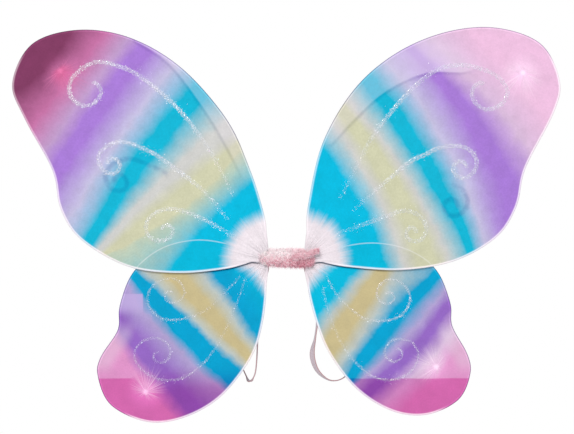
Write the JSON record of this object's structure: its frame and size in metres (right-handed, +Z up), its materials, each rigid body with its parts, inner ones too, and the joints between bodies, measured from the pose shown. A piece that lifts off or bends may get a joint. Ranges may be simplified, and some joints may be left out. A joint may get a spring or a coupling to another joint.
{
  "type": "fairy wings",
  "caption": "Wire-framed costume fairy wings with stretched, banded stocking covers, glitter swirls, a plush middle and elastic arm loops.",
  "frame": {"origin": "middle of the flat back of the plush, which rests on the wearer's back", "axes": "+X across the wings towards the right wings as seen from behind the wearer, +Y towards the wearer, +Z up"},
  "size_m": [0.5478, 0.0649, 0.3957],
  "materials": {
    "plush": "long soft pile",
    "binding_tape": "matt cloth tape",
    "wire": "smooth white coating",
    "elastic": "ribbed flat elastic",
    "left_upper_stocking": "sheer fine knit, dyed in bands",
    "right_upper_stocking": "sheer fine knit, dyed in bands",
    "left_lower_stocking": "sheer fine knit, dyed in bands",
    "right_lower_stocking": "sheer fine knit, dyed in bands",
    "knot_thread": "tight thread",
    "glitter": "clear glue with fine glitter"
  },
  "bodies": {
    "hub": {"plush_wrap": "plush", "plush_tail": "plush", "binding_tape": "binding_tape", "left_upper_wire_tails": "wire", "left_lower_wire_tails": "wire", "right_upper_wire_tails": "wire", "right_lower_wire_tails": "wire", "left_strap_ends": "elastic", "right_strap_ends": "elastic"},
    "left_lower_wing": {"left_lower_frame_wire": "wire", "left_lower_stocking": "left_lower_stocking", "left_lower_tip_knot": "knot_thread", "left_lower_glitter_outer": "glitter", "left_lower_glitter_inner": "glitter"},
    "left_upper_wing": {"left_upper_frame_wire": "wire", "left_upper_stocking": "left_upper_stocking", "left_upper_tip_knot": "knot_thread", "left_upper_glitter_top": "glitter", "left_upper_glitter_middle": "glitter", "left_upper_glitter_bottom": "glitter"},
    "left_strap": {"left_strap_loop": "elastic"},
    "right_lower_wing": {"right_lower_frame_wire": "wire", "right_lower_stocking": "right_lower_stocking", "right_lower_tip_knot": "knot_thread", "right_lower_glitter_outer": "glitter", "right_lower_glitter_inner": "glitter"},
    "right_upper_wing": {"right_upper_frame_wire": "wire", "right_upper_stocking": "right_upper_stocking", "right_upper_tip_knot": "knot_thread", "right_upper_glitter_top": "glitter", "right_upper_glitter_middle": "glitter", "right_upper_glitter_bottom": "glitter"},
    "right_strap": {"right_strap_loop": "elastic"}
  },
  "joints": [
    {"name": "left_wings_fold", "type": "hinge", "parent": "hub", "child": "left_lower_wing", "pos_m": [-0.03, -0.013, 0], "axis": [0, 0, 1], "range_deg": [0, 65]},
    {"name": "left_upper_bend", "type": "hinge", "parent": "left_lower_wing", "child": "left_upper_wing", "pos_m": [-0.03, -0.013, 0], "axis": [0, 0, 1], "range_deg": [0, 18]},
    {"name": "right_wings_fold", "type": "hinge", "parent": "hub", "child": "right_lower_wing", "pos_m": [0.03, -0.013, 0], "axis": [0, 0, -1], "range_deg": [0, 65]},
    {"name": "right_upper_bend", "type": "hinge", "parent": "right_lower_wing", "child": "right_upper_wing", "pos_m": [0.03, -0.013, 0], "axis": [0, 0, -1], "range_deg": [0, 18]},
    {"name": "left_strap_swing", "type": "hinge", "parent": "hub", "child": "left_strap", "pos_m": [-0.0215, -0.0012, -0.012], "axis": [1, 0, 0], "range_deg": [0, 80]},
    {"name": "right_strap_swing", "type": "hinge", "parent": "hub", "child": "right_strap", "pos_m": [0.0215, -0.0012, -0.012], "axis": [1, 0, 0], "range_deg": [0, 80]}
  ]
}
